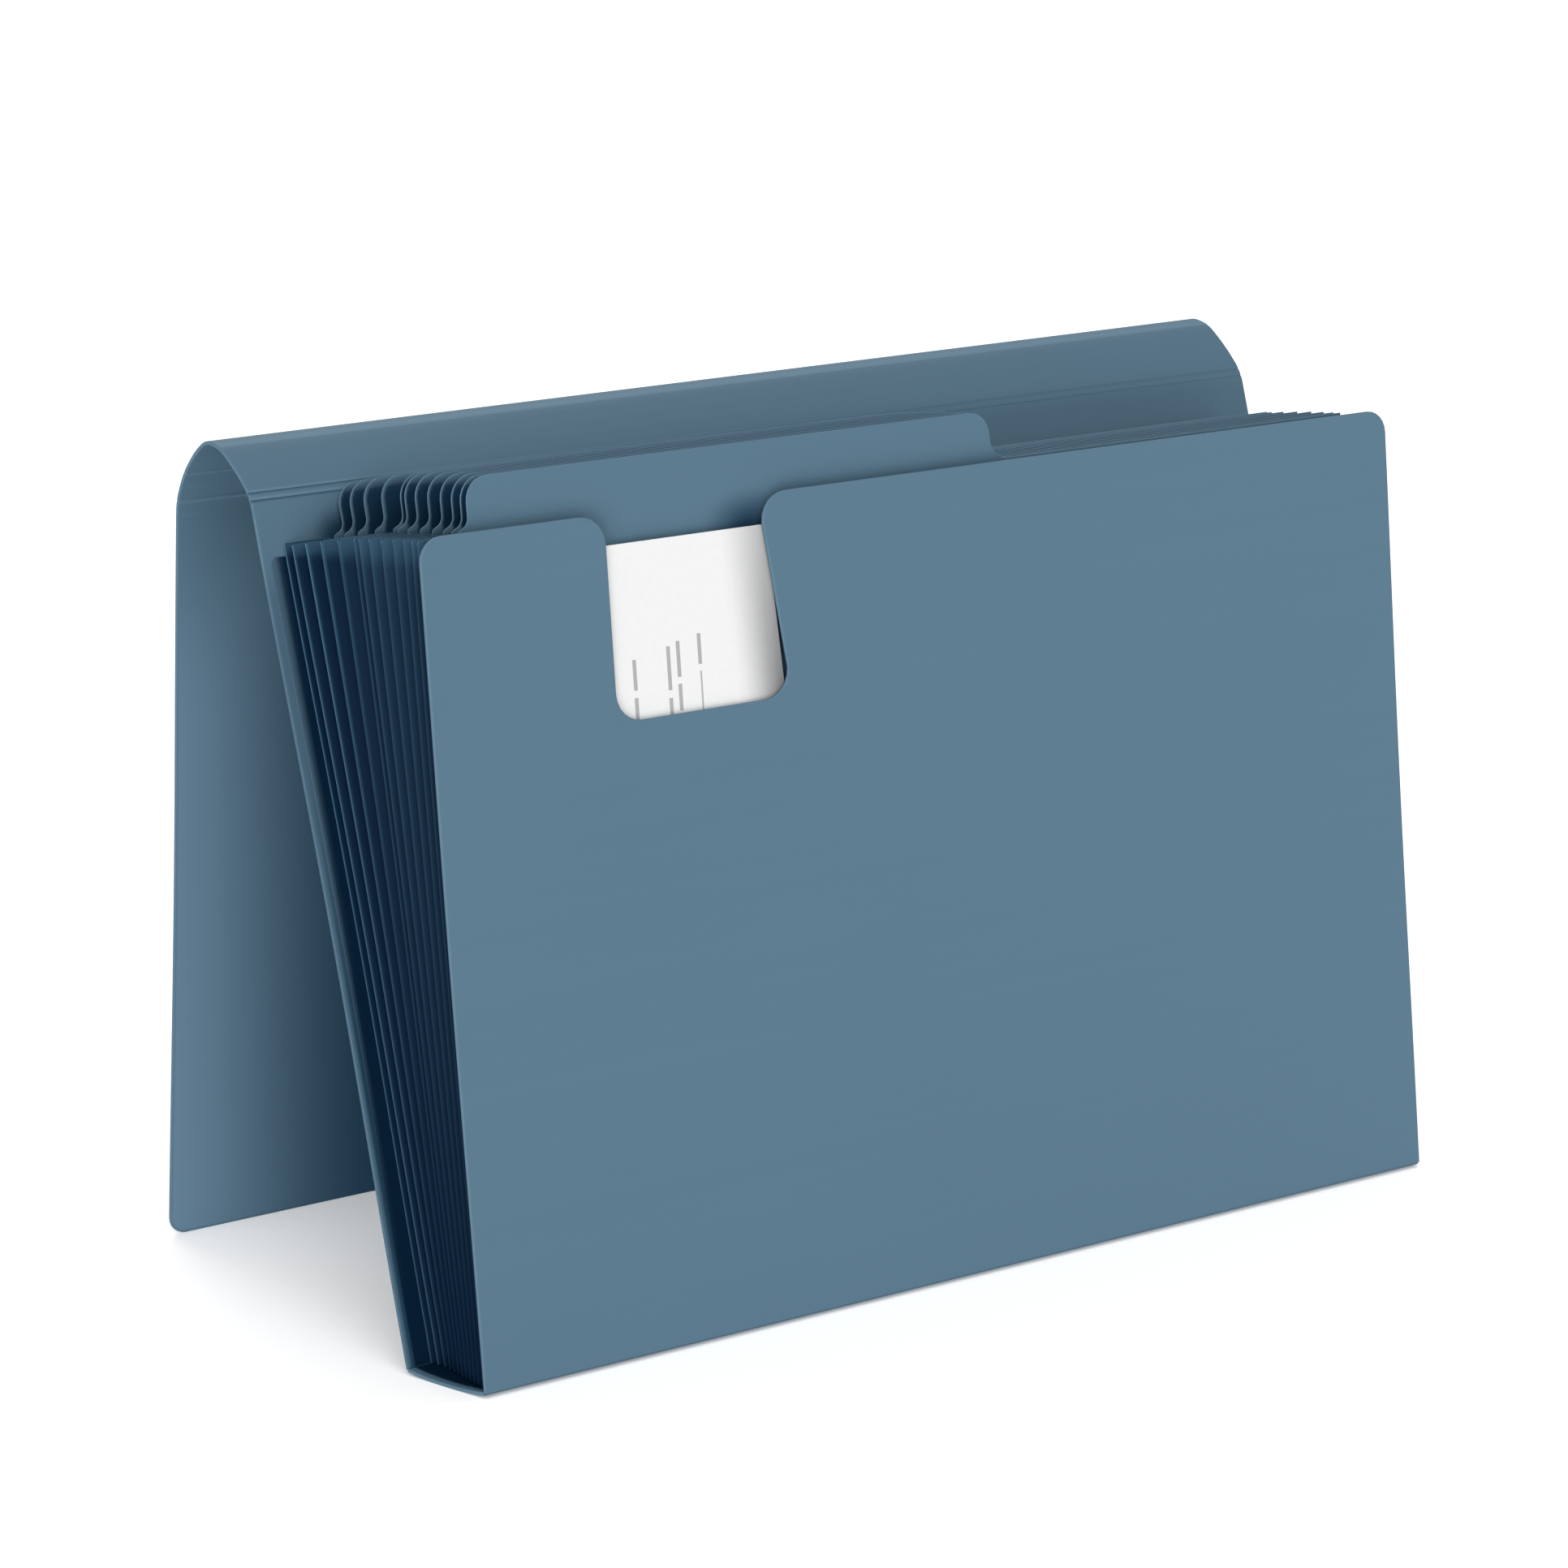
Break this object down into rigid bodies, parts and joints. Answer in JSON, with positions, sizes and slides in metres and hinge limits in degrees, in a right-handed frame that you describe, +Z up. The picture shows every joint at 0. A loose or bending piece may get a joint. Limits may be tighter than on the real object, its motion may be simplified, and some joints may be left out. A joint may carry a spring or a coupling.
{
  "type": "expanding file wallet",
  "caption": "Expanding plastic wallet with tabbed pockets, a notched front panel and a flap folded back as a stand.",
  "frame": {"origin": "on the table, under the middle of the wallet's footprint as it stands open", "axes": "+X along the width, +Y from the front panel to the flap that stands behind, +Z up"},
  "size_m": [0.262, 0.1232, 0.1828],
  "materials": {
    "cover_sheet": "satin, slate blue polypropylene",
    "divider_film": "satin film, slate blue",
    "gusset_film": "satin film, deep blue",
    "slip_paper": "thin white till paper"
  },
  "bodies": {
    "bottom_spine": {"bottom_spine": "cover_sheet"},
    "back_panel": {"back_panel": "cover_sheet", "gusset_left": "gusset_film", "gusset_right": "gusset_film"},
    "divider_01": {"divider_01": "divider_film"},
    "divider_02": {"divider_02": "divider_film"},
    "divider_03": {"divider_03": "divider_film"},
    "divider_04": {"divider_04": "divider_film"},
    "divider_05": {"divider_05": "divider_film"},
    "divider_06": {"divider_06": "divider_film"},
    "divider_07": {"divider_07": "divider_film"},
    "divider_08": {"divider_08": "divider_film"},
    "divider_09": {"divider_09": "divider_film"},
    "divider_10": {"divider_10": "divider_film"},
    "divider_11": {"divider_11": "divider_film"},
    "divider_12": {"divider_12": "divider_film"},
    "front_panel": {"front_panel": "cover_sheet"},
    "paper_slip": {"paper_slip": "slip_paper"},
    "top_strip_1": {"top_strip_1": "cover_sheet"},
    "top_strip_2": {"top_strip_2": "cover_sheet"},
    "top_strip_3": {"top_strip_3": "cover_sheet"},
    "top_strip_4": {"top_strip_4": "cover_sheet"},
    "top_strip_5": {"top_strip_5": "cover_sheet"},
    "top_strip_6": {"top_strip_6": "cover_sheet"},
    "closing_flap": {"closing_flap": "cover_sheet"}
  },
  "joints": [
    {"name": "spine_crease_1", "type": "hinge", "parent": "back_panel", "child": "top_strip_1", "pos_m": [0, 0.0153, 0.17248], "axis": [1, 0, 0], "range_deg": [-0.4, 51.7]},
    {"name": "back_crease", "type": "hinge", "parent": "bottom_spine", "child": "back_panel", "pos_m": [0, -0.04101, 0.0012], "axis": [1, 0, 0], "range_deg": [-0.35, 6]},
    {"name": "pocket_01_fold", "type": "hinge", "parent": "back_panel", "child": "divider_01", "pos_m": [0, -0.04257, 0.002], "axis": [1, 0, 0], "range_deg": [-0.07, 0.023], "deforming": ["gusset_left", "gusset_right"]},
    {"name": "pocket_02_fold", "type": "hinge", "parent": "divider_01", "child": "divider_02", "pos_m": [0, -0.04412, 0.00216], "axis": [1, 0, 0], "range_deg": [-1.02, 0.08]},
    {"name": "pocket_03_fold", "type": "hinge", "parent": "divider_02", "child": "divider_03", "pos_m": [0, -0.04567, 0.00233], "axis": [1, 0, 0], "range_deg": [-1.41, 0.1]},
    {"name": "pocket_04_fold", "type": "hinge", "parent": "divider_03", "child": "divider_04", "pos_m": [0, -0.04723, 0.00249], "axis": [1, 0, 0], "range_deg": [-1.91, 0.13]},
    {"name": "pocket_05_fold", "type": "hinge", "parent": "divider_04", "child": "divider_05", "pos_m": [0, -0.04878, 0.00265], "axis": [1, 0, 0], "range_deg": [-2.01, 0.14]},
    {"name": "pocket_06_fold", "type": "hinge", "parent": "divider_05", "child": "divider_06", "pos_m": [0, -0.05033, 0.00282], "axis": [1, 0, 0], "range_deg": [-0.07, 0.023]},
    {"name": "pocket_07_fold", "type": "hinge", "parent": "divider_06", "child": "divider_07", "pos_m": [0, -0.05189, 0.00298], "axis": [1, 0, 0], "range_deg": [-0.866, 0.069]},
    {"name": "pocket_08_fold", "type": "hinge", "parent": "divider_07", "child": "divider_08", "pos_m": [0, -0.05344, 0.00314], "axis": [1, 0, 0], "range_deg": [-1.11, 0.08]},
    {"name": "pocket_09_fold", "type": "hinge", "parent": "divider_08", "child": "divider_09", "pos_m": [0, -0.055, 0.00331], "axis": [1, 0, 0], "range_deg": [-1.11, 0.08]},
    {"name": "pocket_10_fold", "type": "hinge", "parent": "divider_09", "child": "divider_10", "pos_m": [0, -0.05655, 0.00347], "axis": [1, 0, 0], "range_deg": [-0.916, 0.072]},
    {"name": "pocket_11_fold", "type": "hinge", "parent": "divider_10", "child": "divider_11", "pos_m": [0, -0.0581, 0.00364], "axis": [1, 0, 0], "range_deg": [-0.617, 0.055]},
    {"name": "pocket_12_fold", "type": "hinge", "parent": "divider_11", "child": "divider_12", "pos_m": [0, -0.05966, 0.0038], "axis": [1, 0, 0], "range_deg": [-0.269, 0.035]},
    {"name": "pocket_13_fold", "type": "hinge", "parent": "divider_12", "child": "front_panel", "pos_m": [0, -0.06121, 0.0012], "axis": [1, 0, 0], "range_deg": [-0.468, 0.046]},
    {"name": "spine_crease_2", "type": "hinge", "parent": "top_strip_1", "child": "top_strip_2", "pos_m": [0, 0.02104, 0.17731], "axis": [1, 0, 0], "range_deg": [-0.4, 37.9]},
    {"name": "spine_crease_3", "type": "hinge", "parent": "top_strip_2", "child": "top_strip_3", "pos_m": [0, 0.02738, 0.18131], "axis": [1, 0, 0], "range_deg": [-0.4, 55.2]},
    {"name": "spine_crease_4", "type": "hinge", "parent": "top_strip_3", "child": "top_strip_4", "pos_m": [0, 0.03334, 0.18204], "axis": [1, 0, 0], "range_deg": [-0.4, 62]},
    {"name": "spine_crease_5", "type": "hinge", "parent": "top_strip_4", "child": "top_strip_5", "pos_m": [0, 0.03825, 0.1786], "axis": [1, 0, 0], "range_deg": [-0.4, 43]},
    {"name": "spine_crease_6", "type": "hinge", "parent": "top_strip_5", "child": "top_strip_6", "pos_m": [0, 0.04327, 0.17302], "axis": [1, 0, 0], "range_deg": [-0.4, 42.7]},
    {"name": "flap_crease", "type": "hinge", "parent": "top_strip_6", "child": "closing_flap", "pos_m": [0, 0.04694, 0.16648], "axis": [1, 0, 0], "range_deg": [-0.4, 46.6]},
    {"name": "slip_slide", "type": "slide", "parent": "front_panel", "child": "paper_slip", "axis": [0, 0.1149, 0.9934], "range_m": [0, 0.015]}
  ],
  "couplings": [
    {"joint": "pocket_01_fold", "follows": "back_crease", "ratio": -0.008298},
    {"joint": "pocket_02_fold", "follows": "back_crease", "ratio": -0.16595},
    {"joint": "pocket_03_fold", "follows": "back_crease", "ratio": -0.23233},
    {"joint": "pocket_04_fold", "follows": "back_crease", "ratio": -0.31531},
    {"joint": "pocket_05_fold", "follows": "back_crease", "ratio": -0.3319},
    {"joint": "pocket_06_fold", "follows": "back_crease", "ratio": -0.008298},
    {"joint": "pocket_07_fold", "follows": "back_crease", "ratio": -0.14106},
    {"joint": "pocket_08_fold", "follows": "back_crease", "ratio": -0.18255},
    {"joint": "pocket_09_fold", "follows": "back_crease", "ratio": -0.18255},
    {"joint": "pocket_10_fold", "follows": "back_crease", "ratio": -0.14936},
    {"joint": "pocket_11_fold", "follows": "back_crease", "ratio": -0.099571},
    {"joint": "pocket_12_fold", "follows": "back_crease", "ratio": -0.041488},
    {"joint": "pocket_13_fold", "follows": "back_crease", "ratio": -0.074678}
  ]
}
